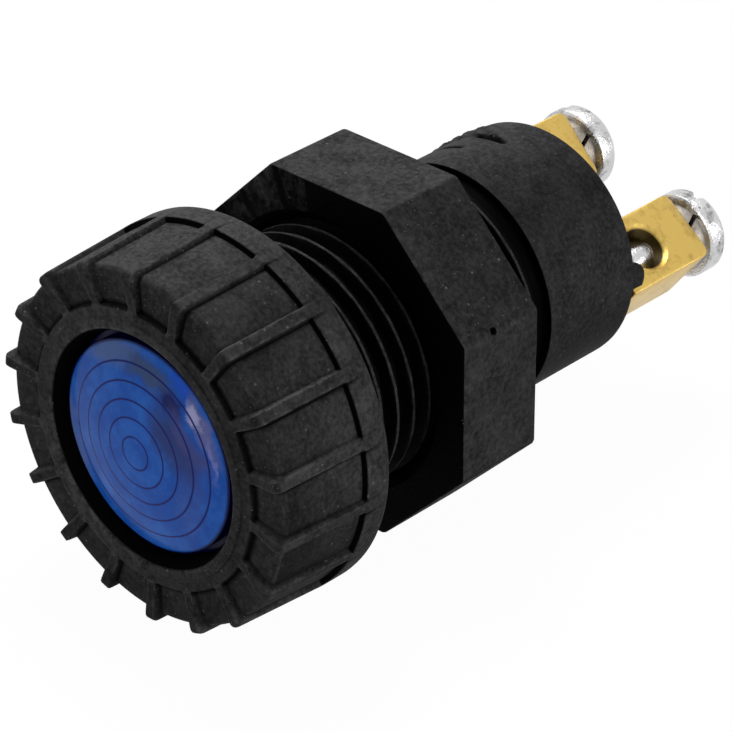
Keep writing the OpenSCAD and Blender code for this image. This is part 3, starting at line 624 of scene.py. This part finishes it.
def nut_place(u, v, w):
    """The nut's own frame to the row's, with the pit pressed in by pit_depth towards the axis."""
    pressed = 1 - pit_depth * np.clip((pit_r - from_pit(u, v, w)) / pit_wall, 0, 1) / np.maximum(np.hypot(u, v), 1)
    return np.stack([u * pressed, w, v * pressed], -1)


def nut_wear_and_shade(u, v, w):
    """Painted shade, near black, on the front face, with dust smears at its upper left and a rubbed rim; painted
    shade, near black, in the bore, on the back face and in the pit.
    """
    turn, radius = np.arctan2(v, u), np.hypot(u, v)
    smears = near(turn, 2.15, 0.42) * (0.55 + 0.45 * np.sin(turn * 38) * np.sin(turn * 17)) * (radius > 11.8)
    front = w < nut_front + 0.02
    inner = (radius < 12.3) | (w > nut_back - 0.02)
    rim = (np.abs(w - nut_front - 0.12) < 0.1) & (radius > 14)
    value = np.where(front, np.where(smears > 0.2, 0.55 * smears, -0.9), np.where(inner, -0.95, 0.0))
    return np.where(from_pit(u, v, w) < pit_r, -1.0, np.where(rim, 0.25, value))


nut_plastic = moulded("nut_plastic", (0.0012, 0.0012, 0.0014), bloom_and_sheen=0.85, dust=0.6, grain=1.3, gloss=0.5)
bored_slab("octagon_nut", nut_outline, nut_bore, (nut_front, nut_back), nut_edge, nut_sink, nut_place, nut_plastic,
           "nut", ["lock_nut"], walls=pit_rows, wear_and_shade=nut_wear_and_shade)


# Terminals: square brass blocks, sawn and cross-drilled for the wire, each clamped
# on the drum's back face. A nickel-plated slotted screw enters each from behind.
metal_group, metal_in, metal_out = node_group(
    "worked_metal",
    [("Colour", "NodeSocketColor", (0.8, 0.6, 0.25, 1)), ("Tarnish", "NodeSocketColor", (0.3, 0.2, 0.08, 1)),
     ("Stain", "NodeSocketFloat", 0.4), ("Gloss", "NodeSocketFloat", 0.2), ("Wear_and_shade", "NodeSocketFloat", 0.0)],
    [("Colour", "NodeSocketColor"), ("Roughness", "NodeSocketFloat"), ("Height", "NodeSocketFloat")])
hole_shade_brown = (0.045, 0.030, 0.010, 1)
t = metal_group
place = add(t, "ShaderNodeTexCoord").outputs["Object"]
patches = noise(t, place, 700, 5, 0.7)
stain = maths(t, "MAXIMUM", ramp(t, patches, 0.5, 0.68), spots(t, place, 1100, 0.10, 0.22, 0.82))
stain = maths(t, "MULTIPLY", stain, metal_in["Stain"])
stained = mixed(t, stain, metal_in["Colour"], metal_in["Tarnish"])
# Painted shade: where the wear value is below 0 the metal turns dark brown.
t.links.new(mixed(t, ramp(t, metal_in["Wear_and_shade"], 0, -1), stained, hole_shade_brown), metal_out["Colour"])
t.links.new(maths(t, "MULTIPLY_ADD", patches, 0.3, metal_in["Gloss"]), metal_out["Roughness"])
t.links.new(maths(t, "MULTIPLY_ADD", patches, 1.5, noise(t, place, 4200, 3)), metal_out["Height"])


def metal(name, colour, tarnish, stain, gloss, bump=0.00002):
    """A material of worked metal, whose stains are tarnish laid over colour by the share stain."""
    material, shader = finished(name, metal_group, {
        "Colour": (*colour, 1), "Tarnish": (*tarnish, 1), "Stain": stain, "Gloss": gloss,
    }, strength=0.6, distance=bump)
    shader.inputs["Metallic"].default_value = 1.0
    return material


block_brass = metal("block_brass", (0.595, 0.415, 0.112), (0.30, 0.18, 0.04), 0.6, 0.22, 0.00003)
terminal_line = math.radians(-16.7)
terminal_reach = 6.5
wire_along = 39.5
wire_hole_r = 1.9
wire_hole_edge = 0.35
block_half = 3.2
block_foot = 35.4
block_end = 45.3
block_edge = 0.2
filed_round = 0.9
sawn_round = 0.12
corner = np.array([
    (-block_half, block_foot), (block_half, block_foot), (block_half, block_end), (-block_half, block_end),
]) - (0, wire_along)
rounding = np.where(corner[:, 1:] > 0, filed_round, sawn_round)
following = np.roll(corner, -1, 0)
side = (following - corner) / np.linalg.norm(following - corner, axis=1)[:, None]
side_start = (corner + side * rounding)[:, None]
side_end = (following - side * np.roll(rounding, -1, 0))[:, None]
next_start = np.roll(side_start, -1, 0)
s = np.linspace(0, 1, 9)[None, :, None]
straight = side_start * (1 - s) + side_end * s
s = np.array([0.17, 0.33, 0.5, 0.67, 0.83])[None, :, None]
bend = (1 - s) ** 2 * side_end + 2 * s * (1 - s) * following[:, None] + s ** 2 * next_start
block_outline = np.concatenate([straight, bend], 1).reshape(-1, 2)


def hole_shade(u, v, w):
    """Painted shade: dark brass in the wire hole, away from its ends."""
    return np.where((np.hypot(u, v) < wire_hole_r + 0.05) & (np.abs(w) < block_half - 0.3), -0.85, 0.0)


for number, (half_turn, facing) in enumerate(((0, 53), (math.pi, 44)), 1):
    line = terminal_line + half_turn
    centre = terminal_reach * np.array([math.cos(line), math.sin(line)])
    face = np.array([math.cos(math.radians(facing)), math.sin(math.radians(facing))])

    def stand(u, v, w, centre=centre, face=face):
        """From the block's own frame to the row's: u across, v along the axis from the wire hole, w along it."""
        x = centre[0] - face[1] * u + face[0] * w
        z = centre[1] + face[0] * u + face[1] * w
        return np.stack([x, v + wire_along, z], -1)

    bored_slab(f"brass_block_{number}", block_outline, wire_hole_r, (-block_half, block_half), block_edge,
               wire_hole_edge, stand, block_brass, "light_body", [f"terminal_block_{number}"],
               walls=(0.0,), wear_and_shade=hole_shade)


# Small parts that keep their plain shapes: each gets the finish of its metal, glass, rubber
# or board. The terminal screws and washers stand back with the blocks' ends.
nickel = metal("bright_nickel", (0.58, 0.58, 0.59), (0.16, 0.155, 0.15), 0.95, 0.14, 0.00007)
washer_steel = metal("washer_steel", (0.34, 0.31, 0.27), (0.10, 0.07, 0.04), 0.85, 0.25)
sheet_brass = metal("sheet_brass", (0.72, 0.52, 0.20), (0.35, 0.22, 0.08), 0.3, 0.2)
screw_brass = metal("screw_brass", (0.70, 0.52, 0.22), (0.35, 0.22, 0.08), 0.3, 0.25)
spring_wire = metal("spring_wire", (0.55, 0.56, 0.58), (0.2, 0.2, 0.2), 0.2, 0.2)
cap_plate = metal("cap_plate", (0.66, 0.62, 0.48), (0.35, 0.28, 0.15), 0.3, 0.2)
solder_grey = metal("solder_grey", (0.5, 0.51, 0.52), (0.25, 0.25, 0.26), 0.5, 0.35)
filament_grey = metal("filament_grey", (0.3, 0.3, 0.31), (0.12, 0.12, 0.12), 0.3, 0.3)
phenolic = moulded("phenolic_board", (0.20, 0.085, 0.03), bloom_and_sheen=0.1, dust=0.1)
gasket_rubber = moulded("gasket_rubber", (0.006, 0.006, 0.006), bloom_and_sheen=0.2, dust=0.1, gloss=0.6)
seal_glass = moulded("black_seal_glass", (0.012, 0.010, 0.018), bloom_and_sheen=0.0, dust=0.05, grain=0.2, gloss=0.08)

clear_glass = bpy.data.materials.new("clear_bulb_glass")
clear_glass.use_nodes = True
t = clear_glass.node_tree
glass_shader = t.nodes["Principled BSDF"]
glass_shader.inputs["Transmission Weight"].default_value = 1.0
glass_shader.inputs["IOR"].default_value = 1.5
place = add(t, "ShaderNodeTexCoord").outputs["Object"]
t.links.new(ramp(t, noise(t, place, 300, 1), 0, 1, 0.01, 0.06), glass_shader.inputs["Roughness"])

for node, finish in {
    "lens_gasket": gasket_rubber, "contact_base": phenolic, "base_screws": screw_brass,
    "lamp_socket": sheet_brass, "socket_strap": sheet_brass, "centre_strap": sheet_brass,
    "strap_screws": screw_brass, "centre_contact": screw_brass, "contact_spring": spring_wire,
    "bulb_glass": clear_glass, "bulb_cap": cap_plate, "bulb_insulator": seal_glass,
    "bulb_contact": solder_grey, "bulb_stem": clear_glass, "bulb_filament": filament_grey,
}.items():
    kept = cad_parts[node]
    kept.data.materials.clear()
    kept.data.materials.append(finish)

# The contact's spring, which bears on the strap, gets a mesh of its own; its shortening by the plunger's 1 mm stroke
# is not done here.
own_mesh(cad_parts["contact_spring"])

# Places along the axis, as the part has them and as they are moved: the screw's tip, the shank
# in the block, the head's foot and its top, and the washer's two faces.
screw_places, screw_moved = (39.9, 41.0, 45.8, 48.6), (38.5, 41.0, 46.45, 48.6)
washer_places, washer_moved = (44.6, 45.8), (45.3, 46.5)


def set_back(source, name, along, moved):
    """A copy of a node's mesh, drawn out along the axis: y goes from along to moved, and straight between."""
    mesh = source.data.copy()
    mesh.name = name
    points = np.empty(len(mesh.vertices) * 3)
    mesh.vertices.foreach_get("co", points)
    points = points.reshape(-1, 3)
    points[:, 1] = np.interp(points[:, 1] / MM, along, moved) * MM
    mesh.vertices.foreach_set("co", points.ravel())
    return mesh


for number in (1, 2):
    mesh = set_back(
        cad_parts[f"terminal_screw_{number}"], f"slotted_screw_{number}", screw_places, screw_moved)
    work = bmesh.new()
    work.from_mesh(mesh)
    bmesh.ops.remove_doubles(work, verts=work.verts, dist=2e-6)
    bmesh.ops.dissolve_limit(work, angle_limit=math.radians(1), verts=work.verts, edges=work.edges)
    work.to_mesh(mesh)
    work.free()
    mesh.materials.clear()
    mesh.materials.append(nickel)
    mesh.polygons.foreach_set("use_smooth", [True] * len(mesh.polygons))
    screw = bpy.data.objects.new(f"slotted_screw_{number}", mesh)
    bpy.context.scene.collection.objects.link(screw)
    ease = screw.modifiers.new("ease", "BEVEL")
    ease.width = 0.12 * MM
    ease.segments = 2
    ease.limit_method = "ANGLE"
    ease.angle_limit = math.radians(35)
    ease.harden_normals = True
    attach(screw, f"screw_{number}")
    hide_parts(f"terminal_screw_{number}")

    mesh = set_back(
        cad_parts[f"lock_washer_{number}"], f"spring_washer_{number}", washer_places, washer_moved)
    mesh.materials.clear()
    mesh.materials.append(washer_steel)
    washer = bpy.data.objects.new(f"spring_washer_{number}", mesh)
    bpy.context.scene.collection.objects.link(washer)
    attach(washer, f"washer_{number}")
    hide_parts(f"lock_washer_{number}")
